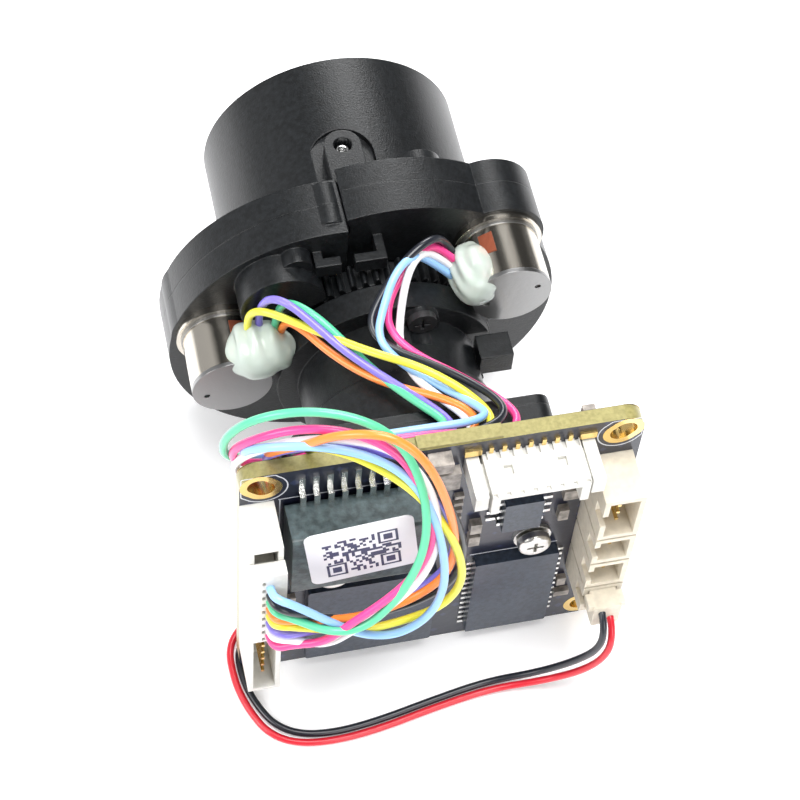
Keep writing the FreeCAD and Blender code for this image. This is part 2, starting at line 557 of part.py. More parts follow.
def make_gearcases():
    """Two shells a side: a rear one that carries the motor and the gear pins, and a front lid."""
    boss_room = box(BOSS_X - 2.1, BOSS_X + 2.1, 0, 60, 11, 16)
    for drive, arc, name in ((ZOOM, LEFT_ARC, "left"), (FOCUS, RIGHT_ARC, "right")):
        y0, y1, y2 = drive.case_y
        x_range = (-30, SPLIT_X - 0.05) if name == "left" else (SPLIT_X + 0.05, 30)
        inner_x = (-30, SPLIT_X - WALL) if name == "left" else (SPLIT_X + WALL, 30)
        outer = outline(arc, drive.motor).common(box(*x_range, 0, 60, -30, 30))
        room = outline(arc, drive.motor, WALL).common(box(*inner_x, 0, 60, -30, 30))
        wheels = [rod(*drive.output, 4.3, 0, 60), rod(*drive.first, 4.0, 0, 60), rod(*drive.motor, 2.2, 0, 60)]
        cavity = room.cut(rod(0, 0, GEAR_HOLE_R + 0.8, 0, 60)).fuse(wheels).common(room)
        rear = outer.common(box(-30, 30, y0, y1, -30, 30)).cut(rod(0, 0, RING_R + 0.4, 0, 60))
        rear = rear.cut(cavity.common(box(-30, 30, y0 + WALL, y1 + 1, -30, 30)))
        front = outer.common(box(-30, 30, y1, y2, -30, 30)).cut(rod(0, 0, GEAR_HOLE_R, 0, 60))
        front = front.cut(cavity.common(box(-30, 30, y1 - 1, y2 - WALL, -30, 30)))
        if name == "left":
            cup = rod(*drive.output, 4.3, 24.2, y0).cut(rod(*drive.output, 3.8, 24.7, y0))
            cup = cup.cut(rod(0, 0, FLANGE_R + 0.15, 0, 60))
            rear = rear.cut(rod(*drive.output, 3.8, y0 - 1, y0 + WALL + 0.1))
            stub = rod(-8.6, 13.0, 1.6, 25.8, y0 + 0.1).cut(rod(-8.6, 13.0, 0.6, 25, 27))
            guide = [box(-6.8, -5.9, 25.6, y0 + 0.1, 11.7, 13.4), box(-6.8, -4.2, 25.6, 26.6, 11.7, 13.4)]
            rear = fuse([rear, cup, stub.cut(rod(*drive.output, 4.3, 0, 60))] + guide)
        else:
            rear = fuse([rear, box(-2.8, 0.4, 25.6, 26.6, 11.7, 13.4), box(-0.5, 0.4, 25.6, y0 + 0.1, 11.7, 13.4),
                         rod(*drive.output, 1.1, y0 + 0.1, y0 + WALL + 0.6)])
            front = front.cut(rod(0, 0, BARREL_R + 0.1, BARREL_Y[0] - 0.1, 60)).cut(boss_room)
        if name == "left":
            rear = fuse([rear, rod(*CENTRE_BOSS, y0 + 1.2, y1)])
            front = fuse([front, rod(*CENTRE_BOSS, y1, y2 - 0.3)])
        else:
            room_for_boss = rod(CENTRE_BOSS[0], CENTRE_BOSS[1], CENTRE_BOSS[2] + 0.1, 0, 60)
            hump = rod(*HUMP, y2 - 0.5, y2 + 1.5).cut(rod(0, 0, BARREL_R + 0.1, 0, 60))
            rear, front = rear.cut(room_for_boss), fuse([front.cut(room_for_boss), biggest(hump)])
        for pin in drive.pins():
            rear = rear.cut(pin)
            front = front.cut(pin)
        rear = rear.cut(rod(*drive.motor, 1.7, y0 - 1, y0 + WALL + 0.2))
        save("%s_gearcase_rear" % name, biggest(rear))
        save("%s_gearcase_front" % name, biggest(front))


def biggest(shape):
    return max(shape.Solids, key=lambda s: s.Volume)


def make_front_barrel():
    y0, y1 = BARREL_Y
    barrel = rod(0, 0, BARREL_R, y0, y1)
    barrel = barrel.cut(rod(0, 0, BARREL_BORE, y0 + 1.2, y1 + 1)).cut(rod(0, 0, RING_R + 0.3, 0, 60))
    lip = tube(0, 0, BARREL_R, BARREL_BORE - 0.6, y1 - 1.0, y1)
    boss_x, boss_y, top = BOSS_X, BOSS_Y, BOSS_TOP
    boss = fuse([box(boss_x - 1.9, boss_x + 1.9, y0, boss_y, 11.5, top),
                 Part.makeCylinder(1.9, top - 11.5, V(boss_x, boss_y, 11.5), V(0, 0, 1))])
    recess = fuse([box(boss_x - 3.3, boss_x + 3.3, y0 - 1, boss_y, 12.9, 16),
                   Part.makeCylinder(3.3, 3.2, V(boss_x, boss_y, 12.9), V(0, 0, 1))])
    barrel = fuse([barrel.cut(recess), boss]).cut(rod(0, 0, BARREL_BORE, y0 + 1.2, y1 - 1.0))
    barrel = fuse([barrel, lip])
    barrel = barrel.cut(Part.makeCylinder(0.95, 8, V(boss_x, boss_y, 12.6), V(0, 0, 1)))
    save("front_barrel", biggest(barrel))
    turns = []
    for k in range(4):
        turns.append(Part.makeTorus(0.55, 0.17, V(boss_x, boss_y, 13.0 + 0.42 * k), V(0, 0, 1)))
    save("boss_spring", turns)


def make_housing_screws():
    screws = []
    for x, z, y in ((2.8, 9.9, 20.2),):
        head = rod(x, z, 1.45, y - 0.7, y)
        cross = fuse([box(x - 0.8, x + 0.8, y - 1, y - 0.35, z - 0.15, z + 0.15),
                      box(x - 0.15, x + 0.15, y - 1, y - 0.35, z - 0.8, z + 0.8)])
        screws.append(fuse([head, rod(x, z, 0.55, y - 0.1, y + 2.6)]).cut(cross))
    save("housing_screws", screws)


def make_motors():
    caps, coils, pins = [], [], []
    for drive in (ZOOM, FOCUS):
        x, z = drive.motor
        y1 = drive.case_y[0]
        y0 = y1 - CAN_LENGTH
        can = tube(x, z, CAN_R, CAN_R - 0.3, y0 + 0.45, y1 - 0.7)
        ring = rod(x, z, CAN_RING_R, y1 - 0.7, y1).cut(rod(x, z, SHAFT_R + RUNNING, 0, 60))
        window_turn = 60 if drive is ZOOM else 150
        window = box(CAN_R - 1.0, CAN_R + 1, (y0 + y1) / 2 - 1.0, (y0 + y1) / 2 + 0.6, -1.2, 1.2)
        window.rotate(V(0, 0, 0), V(0, -1, 0), window_turn)
        window.translate(V(x, 0, z))
        save("%s_motor_can" % drive.name, fuse([can.cut(window), ring]))
        cap = rod(x, z, CAN_R, y0, y0 + 0.45)
        for angle in (20, 200):
            dx, dz = polar(2.7, angle)
            cap = cap.cut(rod(x + dx, z + dz, 0.3, y0 - 1, y0 + 0.25))
        caps.append(cap)
        for a, b in ((y0 + 0.7, y0 + 3.0), (y0 + 3.3, y0 + 5.7)):
            coils.append(tube(x, z, CAN_R - 0.4, 2.2, a, b))
    save("motor_caps", caps)
    save("motor_coils", coils)
    save("zoom_motor_rotor", ZOOM.rotor())
    save("focus_motor_rotor", FOCUS.rotor())
    for drive in (ZOOM, FOCUS):
        save("%s_first_gear" % drive.name, drive.first_gear())
        save("%s_output_gear" % drive.name, drive.output_gear())
        pins += drive.pins()
    save("gear_pins", pins)


# ---- motor glue and leads ----
GLUE = {"zoom": ((-12.8, 22.5, 5.6), (3.4, 3.1, 2.7)), "focus": ((8.6, 24.0, 10.5), (2.8, 3.5, 2.7))}


def make_glue():
    """A bead of hot glue over each motor's solder tags: a squashed ball cut to the can it sits on."""
    beads = []
    for drive in (ZOOM, FOCUS):
        (x, y, z), (rx, ry, rz) = GLUE[drive.name]
        matrix = FreeCAD.Matrix()
        matrix.scale(rx, ry, rz)
        bead = Part.makeSphere(1.0).transformGeometry(matrix)
        bead.translate(V(x, y, z))
        bead = bead.cut(rod(*drive.motor, CAN_R + 0.02, 0, 60)).cut(rod(0, 0, FLANGE_R + 0.35, 0, 60))
        beads.append(biggest(bead.cut(rod(*ZOOM.output, 4.4, 24.1, 30))))
    save("glue_beads", beads)


def plug_end(k, turn_z, bend_z):
    """The last points of a motor lead: in from the right, then straight into the plug's hole k."""
    z = PLUG_FIRST_Z + PLUG_PITCH * k
    return [(-15.5, -8.4, turn_z), (-16.7, -8.1, bend_z), (-17.3, -7.3, z), (-17.3, PLUG_FACE_Y + 0.15, z)]


LEADS = {
    "yellow_lead": [(-13.9, 23.2, 7.0), (-14.1, 23.6, 9.6), (-13.0, 22.8, 11.8), (-10.7, 21.0, 12.3),
                    (-6.9, 18.0, 12.5), (-3.3, 14.5, 13.8), (0.5, 12.0, 14.3), (3.9, 9.2, 13.9),
                    (6.0, 6.2, 13.8), (5.6, 4.0, 14.6), (3.2, 3.0, 15.3), (-2.6, 3.0, 15.6),
                    (-8.6, 3.2, 15.6), (-12.0, 2.9, 17.0), (-12.7, 2.0, 20.0), (-10.9, -0.1, 22.1),
                    (-8.6, -2.0, 22.9), (-5.6, -4.1, 22.0), (-3.2, -5.7, 19.8), (-1.2, -7.0, 16.2),
                    (0.2, -7.6, 11.8), (0.6, -7.9, 7.4), (-1.0, -8.0, 3.6), (-4.6, -8.0, 1.9),
                    (-9.4, -8.2, 1.6)] + plug_end(3, 5.3, 5.2),
    "purple_lead": [(-12.8, 23.4, 7.2), (-12.9, 23.6, 10.3), (-12.1, 22.9, 13.4), (-10.5, 21.4, 14.4),
                    (-8.2, 19.0, 13.4), (-5.8, 16.0, 12.5), (-2.2, 12.4, 11.9), (0.7, 8.8, 12.6),
                    (2.5, 6.0, 13.0), (2.0, 4.4, 13.1), (-0.4, 3.6, 13.1), (-5.6, 4.0, 13.1),
                    (-11.6, 3.9, 13.8), (-15.4, 3.2, 15.4), (-16.4, 2.2, 18.6), (-14.6, 1.0, 21.4),
                    (-11.2, -0.4, 23.4), (-7.9, -1.7, 23.8), (-4.9, -3.1, 22.9), (-2.1, -4.5, 19.6),
                    (-0.5, -5.3, 15.4), (0.3, -5.6, 10.6), (-0.6, -5.9, 6.4), (-3.6, -6.2, 3.4),
                    (-8.8, -7.2, 1.8)] + plug_end(2, 3.6, 3.8),
    "green_lead": [(-11.4, 22.9, 7.2), (-11.1, 23.4, 10.4), (-10.1, 22.2, 13.4), (-7.8, 19.6, 13.8),
                   (-5.1, 16.4, 12.2), (-2.6, 12.8, 11.6), (-0.2, 8.9, 12.7), (1.7, 6.2, 13.4),
                   (1.0, 5.0, 14.2), (-1.6, 4.6, 14.3), (-6.6, 4.9, 14.2), (-12.6, 4.7, 14.4),
                   (-17.4, 4.0, 15.6), (-19.8, 3.2, 18.2), (-20.0, 2.6, 21.8), (-18.4, 1.9, 25.2),
                   (-15.7, 1.0, 27.5), (-12.5, 0.1, 28.5), (-9.2, -1.1, 28.5), (-6.2, -2.6, 27.4),
                   (-4.3, -4.4, 24.6), (-3.4, -6.4, 20.8), (-3.5, -8.0, 17.0), (-4.5, -9.0, 13.2),
                   (-6.4, -9.6, 9.0), (-9.0, -9.9, 5.6), (-12.0, -9.6, 5.0)] + plug_end(5, 6.9, 7.5),
    "orange_lead": [(-11.0, 22.6, 6.4), (-10.5, 23.0, 9.2), (-9.2, 20.6, 10.9), (-7.3, 17.5, 11.0),
                    (-4.7, 14.4, 11.1), (-1.6, 11.6, 11.8), (1.8, 9.1, 13.1), (4.6, 6.4, 13.7),
                    (4.2, 4.3, 13.9), (1.8, 3.1, 14.2), (-4.0, 3.0, 14.4), (-10.2, 3.1, 14.6),
                    (-14.6, 3.0, 15.8), (-16.3, 2.5, 18.4), (-15.2, 0.8, 21.8), (-13.3, -0.8, 24.6),
                    (-11.2, -1.9, 27.2), (-8.7, -3.1, 28.8), (-6.4, -4.1, 29.1), (-4.4, -5.2, 27.8),
                    (-2.9, -6.2, 25.2), (-1.6, -6.8, 21.0), (-0.5, -6.8, 15.6), (-0.1, -6.7, 10.4),
                    (-1.2, -6.8, 6.2), (-4.4, -6.9, 3.4), (-9.4, -7.6, 3.2)] + plug_end(4, 6.5, 6.4),
    "white_lead": [(6.9, 24.7, 11.4), (4.9, 25.2, 13.6), (3.1, 24.2, 15.2), (1.6, 22.4, 15.0),
                   (0.4, 19.6, 13.5), (-0.4, 16.6, 11.9), (0.0, 12.9, 11.7), (1.8, 9.3, 12.8),
                   (4.1, 6.0, 13.3), (3.8, 3.9, 13.0), (1.4, 2.9, 12.9), (-4.4, 3.1, 12.7),
                   (-10.6, 3.2, 12.9), (-15.8, 3.0, 13.4), (-18.8, 2.8, 15.4), (-19.0, 2.2, 18.8),
                   (-16.6, 0.9, 22.4), (-13.2, -0.3, 24.7), (-9.0, -1.4, 25.2), (-5.8, -2.9, 24.9),
                   (-3.4, -4.8, 22.8), (-2.2, -6.4, 18.9), (-2.3, -7.6, 14.0), (-3.7, -8.3, 10.0),
                   (-6.4, -8.6, 6.6), (-9.4, -8.8, 3.6), (-12.2, -8.9, 1.3)] + plug_end(1, 2.6, 2.6),
    "light_blue_lead": [(6.8, 24.2, 10.6), (4.6, 24.7, 13.0), (2.4, 23.9, 15.8), (0.2, 22.0, 15.8),
                        (-1.3, 19.6, 14.3), (-2.6, 16.8, 13.0), (-1.0, 14.0, 12.4), (2.2, 10.9, 12.2),
                        (4.7, 7.0, 14.2), (5.4, 5.0, 15.4), (3.6, 3.9, 16.2), (-1.4, 3.9, 16.4),
                        (-7.2, 3.9, 16.4), (-13.0, 3.6, 16.6), (-17.2, 2.9, 18.0), (-18.6, 1.8, 20.8),
                        (-16.8, 0.2, 23.6), (-13.2, -1.2, 25.1), (-9.2, -2.2, 24.6), (-5.8, -3.8, 23.5),
                        (-3.6, -5.6, 21.4), (-2.3, -7.4, 17.6), (-1.6, -8.5, 13.0), (-1.5, -8.9, 8.4),
                        (-2.6, -9.0, 3.8), (-5.4, -8.9, 0.9), (-8.6, -8.8, 1.8), (-11.4, -8.8, 4.9)]
                       + plug_end(7, 9.6, 10.3),
    "pink_lead": [(7.0, 25.0, 12.4), (5.2, 25.8, 14.4), (3.2, 24.6, 14.9), (0.8, 22.5, 14.0),
                  (-0.9, 20.0, 13.0), (-1.1, 17.4, 12.6), (0.9, 14.6, 12.2), (4.4, 11.4, 12.6),
                  (8.2, 7.2, 12.9), (8.6, 4.7, 13.6), (6.6, 3.1, 14.2), (1.4, 2.9, 16.6),
                  (-4.2, 2.9, 17.0), (-9.8, 2.9, 16.8), (-15.0, 3.0, 15.8), (-18.8, 2.9, 17.2),
                  (-19.3, 2.4, 20.4), (-17.4, 1.2, 23.6), (-14.4, 0.3, 25.7), (-11.0, -0.8, 26.6),
                  (-7.6, -2.2, 26.2), (-5.0, -3.8, 24.6), (-3.2, -5.9, 20.6), (-2.6, -7.5, 16.6),
                  (-4.0, -8.7, 12.8), (-6.7, -9.3, 9.6), (-10.0, -9.5, 6.4), (-12.6, -9.5, 3.2)]
                 + plug_end(0, 1.6, 0.8),
    "black_lead": [(7.2, 25.4, 12.2), (6.2, 26.0, 14.6), (4.2, 25.0, 16.4), (1.2, 23.2, 15.7),
                   (-1.7, 20.5, 13.9), (-3.1, 18.2, 12.9), (-1.6, 15.8, 12.4), (2.0, 13.2, 12.6),
                   (5.0, 10.4, 13.0), (7.0, 7.0, 14.4), (7.1, 4.8, 15.2), (5.0, 3.2, 15.9),
                   (-0.4, 2.8, 15.0), (-6.0, 2.9, 13.8), (-11.4, 2.8, 14.6), (-14.6, 2.8, 17.0),
                   (-15.0, 2.2, 20.4), (-12.4, 0.2, 22.6), (-8.9, -1.6, 23.3), (-6.0, -3.1, 23.2),
                   (-3.5, -4.5, 22.6), (-1.5, -5.7, 19.8), (-0.1, -6.3, 15.8), (0.8, -6.5, 11.0),
                   (0.4, -6.5, 6.0), (-2.2, -6.3, 2.4), (-6.4, -6.5, 1.4), (-10.8, -7.6, 3.4)]
                  + plug_end(6, 8.0, 8.7),
}
FILTER_LEADS = {
    "filter_lead_black": [(15.9, FILTER_PLUG_Y + 0.2, -5.0), (15.9, -8.6, -5.4), (15.6, -9.6, -8.2),
                          (13.9, -8.6, -12.4), (10.6, -7.2, -16.6), (5.6, -6.4, -18.4), (-0.4, -7.4, -18.5),
                          (-6.0, -8.5, -18.6), (-10.6, -9.0, -18.6), (-14.2, -8.6, -18.6), (-16.6, -7.1, -18.6),
                          (-17.9, -4.8, -18.6), (-18.7, -2.4, -18.6), (-18.95, -0.4, -18.5), (-18.9, 1.4, -18.5),
                          (-18.1, 2.8, -18.3), (-16.4, 3.7, -17.4), (-14.2, 4.4, -14.8), (-12.2, 4.8, -11.4),
                          (-10.6, 4.6, -7.7)],
    "filter_lead_red": [(16.9, FILTER_PLUG_Y + 0.2, -6.2), (16.9, -8.6, -6.6), (16.5, -9.9, -9.2),
                        (14.8, -9.3, -13.4), (11.2, -7.9, -17.3), (5.9, -7.2, -18.6), (-0.3, -8.2, -18.6),
                        (-6.0, -9.4, -18.6), (-10.8, -9.9, -18.6), (-14.8, -9.5, -18.6), (-17.4, -7.9, -18.6),
                        (-18.8, -5.2, -18.6), (-19.6, -2.5, -18.5), (-19.8, -0.3, -18.3), (-19.75, 1.7, -18.2),
                        (-18.9, 3.4, -18.0), (-17.0, 4.6, -17.0), (-15.0, 5.3, -14.6), (-13.2, 5.6, -11.2),
                        (-11.8, 4.8, -7.7)],
}


def cord_tube(name, points, diameter):
    """A tube along straight runs joined by tangent arcs; prints its tightest radius and its fill."""
    p = [V(*q) for q in points]
    edges, start, tightest, length = [], p[0], 1e9, 0.0
    for k in range(1, len(p) - 1):
        a, b = p[k] - p[k - 1], p[k + 1] - p[k]
        shorter = min(a.Length, b.Length)
        turn = a.getAngle(b)
        setback = 0.45 * shorter
        radius = setback / math.tan(turn / 2)
        tightest = min(tightest, radius)
        a.normalize()
        b.normalize()
        enter, leave = p[k] - a * setback, p[k] + b * setback
        inward = b - a
        inward.normalize()
        middle = p[k] + inward * (radius / math.cos(turn / 2) - radius)
        edges.append(Part.LineSegment(start, enter).toShape())
        edges.append(Part.Arc(enter, middle, leave).toShape())
        length += (enter - start).Length + radius * turn
        start = leave
    edges.append(Part.LineSegment(start, p[-1]).toShape())
    length += (p[-1] - start).Length
    path = Part.Wire(edges)
    profile = Part.Wire(Part.Circle(p[0], p[1] - p[0], diameter / 2).toShape())
    shape = path.makePipeShell([profile], True, True)
    fill = shape.Volume / (math.pi * diameter ** 2 / 4 * length)
    print("%-18s length %6.1f  tightest radius %4.2f  volume/section*length %.4f"
          % (name, length, tightest, fill))
    save(name, shape)


def make_leads():
    for name, points in LEADS.items():
        cord_tube(name, points, WIRE_D)
    for name, points in FILTER_LEADS.items():
        cord_tube(name, points, FILTER_WIRE_D)


make_board()
make_chips()
make_passives()
make_connectors()
make_mount()
make_optics()
make_rear_barrel()
make_gearcases()
make_front_barrel()
make_housing_screws()
make_motors()
make_glue()
make_leads()
print("nodes", len(SAVED))
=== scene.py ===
import json
import math

import bmesh
import bpy
from mathutils import Matrix, Vector


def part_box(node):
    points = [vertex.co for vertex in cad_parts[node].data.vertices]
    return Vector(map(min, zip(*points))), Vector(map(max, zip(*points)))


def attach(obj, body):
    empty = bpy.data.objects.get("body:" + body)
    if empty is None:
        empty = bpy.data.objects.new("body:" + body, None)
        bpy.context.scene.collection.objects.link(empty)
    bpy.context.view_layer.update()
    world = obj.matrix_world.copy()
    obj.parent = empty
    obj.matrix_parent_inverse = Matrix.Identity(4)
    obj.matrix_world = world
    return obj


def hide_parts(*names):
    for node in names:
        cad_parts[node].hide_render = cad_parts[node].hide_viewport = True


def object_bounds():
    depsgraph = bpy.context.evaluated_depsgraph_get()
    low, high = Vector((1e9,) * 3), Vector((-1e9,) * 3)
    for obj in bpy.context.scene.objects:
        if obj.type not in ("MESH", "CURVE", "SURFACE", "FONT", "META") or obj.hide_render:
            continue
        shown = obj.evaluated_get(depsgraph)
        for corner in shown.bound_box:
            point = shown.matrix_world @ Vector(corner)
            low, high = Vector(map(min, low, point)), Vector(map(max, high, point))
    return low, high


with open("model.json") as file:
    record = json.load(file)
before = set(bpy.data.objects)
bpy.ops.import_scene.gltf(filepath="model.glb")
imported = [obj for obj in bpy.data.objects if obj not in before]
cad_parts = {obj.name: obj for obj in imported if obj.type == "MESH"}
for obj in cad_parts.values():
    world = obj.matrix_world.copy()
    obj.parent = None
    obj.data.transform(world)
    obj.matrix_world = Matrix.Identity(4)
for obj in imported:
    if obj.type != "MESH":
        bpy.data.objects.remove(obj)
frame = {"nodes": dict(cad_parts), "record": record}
CAD_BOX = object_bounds()
NODES = frame["nodes"]
MM = 0.001
WIRE_D = 0.8                 # motor leads, millimetres
FILTER_WIRE_D = 0.75         # infrared-filter leads

# ---- camera ----
CAMERA_AT = (-0.0377472, -0.1049082, 0.1988013)
CAMERA_RIGHT = (0.9753787, -0.2130010, 0.0571568)
CAMERA_DOWN = (-0.1494535, -0.8289943, -0.5389175)
CAMERA_LOOK = (0.1621727, 0.5171064, -0.8404172)
CAMERA_LENS = 105.245

camera_data = bpy.data.cameras.new("camera")
camera_data.lens = CAMERA_LENS
camera_data.sensor_width = 36.0
camera_data.clip_start = 0.01
camera = bpy.data.objects.new("camera", camera_data)
bpy.context.scene.collection.objects.link(camera)
turn = Matrix((CAMERA_RIGHT, [-v for v in CAMERA_DOWN], [-v for v in CAMERA_LOOK])).transposed()
camera.matrix_world = Matrix.Translation(CAMERA_AT) @ turn.to_4x4()
bpy.context.scene.camera = camera

# ---- lead routes, millimetres ----
PLUG_PITCH = 1.36
PLUG_FIRST_Z = 0.6
PLUG_FACE_Y = -6.5
FILTER_PLUG_Y = -7.4


def plug_end(k, turn_z, bend_z):
    """The last points of a motor lead: in from the right, then straight into the plug's hole k."""
    z = PLUG_FIRST_Z + PLUG_PITCH * k
    return [(-15.5, -8.4, turn_z), (-16.7, -8.1, bend_z), (-17.3, -7.3, z), (-17.3, PLUG_FACE_Y + 0.15, z)]


LEADS = {
    "yellow_lead": [(-13.9, 23.2, 7.0), (-14.1, 23.6, 9.6), (-13.0, 22.8, 11.8), (-10.7, 21.0, 12.3),
                    (-6.9, 18.0, 12.5), (-3.3, 14.5, 13.8), (0.5, 12.0, 14.3), (3.9, 9.2, 13.9),
                    (6.0, 6.2, 13.8), (5.6, 4.0, 14.6), (3.2, 3.0, 15.3), (-2.6, 3.0, 15.6),
                    (-8.6, 3.2, 15.6), (-12.0, 2.9, 17.0), (-12.7, 2.0, 20.0), (-10.9, -0.1, 22.1),
                    (-8.6, -2.0, 22.9), (-5.6, -4.1, 22.0), (-3.2, -5.7, 19.8), (-1.2, -7.0, 16.2),
                    (0.2, -7.6, 11.8), (0.6, -7.9, 7.4), (-1.0, -8.0, 3.6), (-4.6, -8.0, 1.9),
                    (-9.4, -8.2, 1.6)] + plug_end(3, 5.3, 5.2),
    "purple_lead": [(-12.8, 23.4, 7.2), (-12.9, 23.6, 10.3), (-12.1, 22.9, 13.4), (-10.5, 21.4, 14.4),
                    (-8.2, 19.0, 13.4), (-5.8, 16.0, 12.5), (-2.2, 12.4, 11.9), (0.7, 8.8, 12.6),
                    (2.5, 6.0, 13.0), (2.0, 4.4, 13.1), (-0.4, 3.6, 13.1), (-5.6, 4.0, 13.1),
                    (-11.6, 3.9, 13.8), (-15.4, 3.2, 15.4), (-16.4, 2.2, 18.6), (-14.6, 1.0, 21.4),
                    (-11.2, -0.4, 23.4), (-7.9, -1.7, 23.8), (-4.9, -3.1, 22.9), (-2.1, -4.5, 19.6),
                    (-0.5, -5.3, 15.4), (0.3, -5.6, 10.6), (-0.6, -5.9, 6.4), (-3.6, -6.2, 3.4),
                    (-8.8, -7.2, 1.8)] + plug_end(2, 3.6, 3.8),
    "green_lead": [(-11.4, 22.9, 7.2), (-11.1, 23.4, 10.4), (-10.1, 22.2, 13.4), (-7.8, 19.6, 13.8),
                   (-5.1, 16.4, 12.2), (-2.6, 12.8, 11.6), (-0.2, 8.9, 12.7), (1.7, 6.2, 13.4),
                   (1.0, 5.0, 14.2), (-1.6, 4.6, 14.3), (-6.6, 4.9, 14.2), (-12.6, 4.7, 14.4),
                   (-17.4, 4.0, 15.6), (-19.8, 3.2, 18.2), (-20.0, 2.6, 21.8), (-18.4, 1.9, 25.2),
                   (-15.7, 1.0, 27.5), (-12.5, 0.1, 28.5), (-9.2, -1.1, 28.5), (-6.2, -2.6, 27.4),
                   (-4.3, -4.4, 24.6), (-3.4, -6.4, 20.8), (-3.5, -8.0, 17.0), (-4.5, -9.0, 13.2),
                   (-6.4, -9.6, 9.0), (-9.0, -9.9, 5.6), (-12.0, -9.6, 5.0)] + plug_end(5, 6.9, 7.5),
    "orange_lead": [(-11.0, 22.6, 6.4), (-10.5, 23.0, 9.2), (-9.2, 20.6, 10.9), (-7.3, 17.5, 11.0),
                    (-4.7, 14.4, 11.1), (-1.6, 11.6, 11.8), (1.8, 9.1, 13.1), (4.6, 6.4, 13.7),
                    (4.2, 4.3, 13.9), (1.8, 3.1, 14.2), (-4.0, 3.0, 14.4), (-10.2, 3.1, 14.6),
                    (-14.6, 3.0, 15.8), (-16.3, 2.5, 18.4), (-15.2, 0.8, 21.8), (-13.3, -0.8, 24.6),
                    (-11.2, -1.9, 27.2), (-8.7, -3.1, 28.8), (-6.4, -4.1, 29.1), (-4.4, -5.2, 27.8),
                    (-2.9, -6.2, 25.2), (-1.6, -6.8, 21.0), (-0.5, -6.8, 15.6), (-0.1, -6.7, 10.4),
                    (-1.2, -6.8, 6.2), (-4.4, -6.9, 3.4), (-9.4, -7.6, 3.2)] + plug_end(4, 6.5, 6.4),
    "white_lead": [(6.9, 24.7, 11.4), (4.9, 25.2, 13.6), (3.1, 24.2, 15.2), (1.6, 22.4, 15.0),
                   (0.4, 19.6, 13.5), (-0.4, 16.6, 11.9), (0.0, 12.9, 11.7), (1.8, 9.3, 12.8),
                   (4.1, 6.0, 13.3), (3.8, 3.9, 13.0), (1.4, 2.9, 12.9), (-4.4, 3.1, 12.7),
                   (-10.6, 3.2, 12.9), (-15.8, 3.0, 13.4), (-18.8, 2.8, 15.4), (-19.0, 2.2, 18.8),
                   (-16.6, 0.9, 22.4), (-13.2, -0.3, 24.7), (-9.0, -1.4, 25.2), (-5.8, -2.9, 24.9),
                   (-3.4, -4.8, 22.8), (-2.2, -6.4, 18.9), (-2.3, -7.6, 14.0), (-3.7, -8.3, 10.0),
                   (-6.4, -8.6, 6.6), (-9.4, -8.8, 3.6), (-12.2, -8.9, 1.3)] + plug_end(1, 2.6, 2.6),
    "light_blue_lead": [(6.8, 24.2, 10.6), (4.6, 24.7, 13.0), (2.4, 23.9, 15.8), (0.2, 22.0, 15.8),
                        (-1.3, 19.6, 14.3), (-2.6, 16.8, 13.0), (-1.0, 14.0, 12.4), (2.2, 10.9, 12.2),
                        (4.7, 7.0, 14.2), (5.4, 5.0, 15.4), (3.6, 3.9, 16.2), (-1.4, 3.9, 16.4),
                        (-7.2, 3.9, 16.4), (-13.0, 3.6, 16.6), (-17.2, 2.9, 18.0), (-18.6, 1.8, 20.8),
                        (-16.8, 0.2, 23.6), (-13.2, -1.2, 25.1), (-9.2, -2.2, 24.6), (-5.8, -3.8, 23.5),
                        (-3.6, -5.6, 21.4), (-2.3, -7.4, 17.6), (-1.6, -8.5, 13.0), (-1.5, -8.9, 8.4),
                        (-2.6, -9.0, 3.8), (-5.4, -8.9, 0.9), (-8.6, -8.8, 1.8), (-11.4, -8.8, 4.9)]
                       + plug_end(7, 9.6, 10.3),
    "pink_lead": [(7.0, 25.0, 12.4), (5.2, 25.8, 14.4), (3.2, 24.6, 14.9), (0.8, 22.5, 14.0),
                  (-0.9, 20.0, 13.0), (-1.1, 17.4, 12.6), (0.9, 14.6, 12.2), (4.4, 11.4, 12.6),
                  (8.2, 7.2, 12.9), (8.6, 4.7, 13.6), (6.6, 3.1, 14.2), (1.4, 2.9, 16.6),
                  (-4.2, 2.9, 17.0), (-9.8, 2.9, 16.8), (-15.0, 3.0, 15.8), (-18.8, 2.9, 17.2),
                  (-19.3, 2.4, 20.4), (-17.4, 1.2, 23.6), (-14.4, 0.3, 25.7), (-11.0, -0.8, 26.6),
                  (-7.6, -2.2, 26.2), (-5.0, -3.8, 24.6), (-3.2, -5.9, 20.6), (-2.6, -7.5, 16.6),
                  (-4.0, -8.7, 12.8), (-6.7, -9.3, 9.6), (-10.0, -9.5, 6.4), (-12.6, -9.5, 3.2)]
                 + plug_end(0, 1.6, 0.8),
    "black_lead": [(7.2, 25.4, 12.2), (6.2, 26.0, 14.6), (4.2, 25.0, 16.4), (1.2, 23.2, 15.7),
                   (-1.7, 20.5, 13.9), (-3.1, 18.2, 12.9), (-1.6, 15.8, 12.4), (2.0, 13.2, 12.6),
                   (5.0, 10.4, 13.0), (7.0, 7.0, 14.4), (7.1, 4.8, 15.2), (5.0, 3.2, 15.9),
                   (-0.4, 2.8, 15.0), (-6.0, 2.9, 13.8), (-11.4, 2.8, 14.6), (-14.6, 2.8, 17.0),
                   (-15.0, 2.2, 20.4), (-12.4, 0.2, 22.6), (-8.9, -1.6, 23.3), (-6.0, -3.1, 23.2),
                   (-3.5, -4.5, 22.6), (-1.5, -5.7, 19.8), (-0.1, -6.3, 15.8), (0.8, -6.5, 11.0),
                   (0.4, -6.5, 6.0), (-2.2, -6.3, 2.4), (-6.4, -6.5, 1.4), (-10.8, -7.6, 3.4)]
                  + plug_end(6, 8.0, 8.7),
}
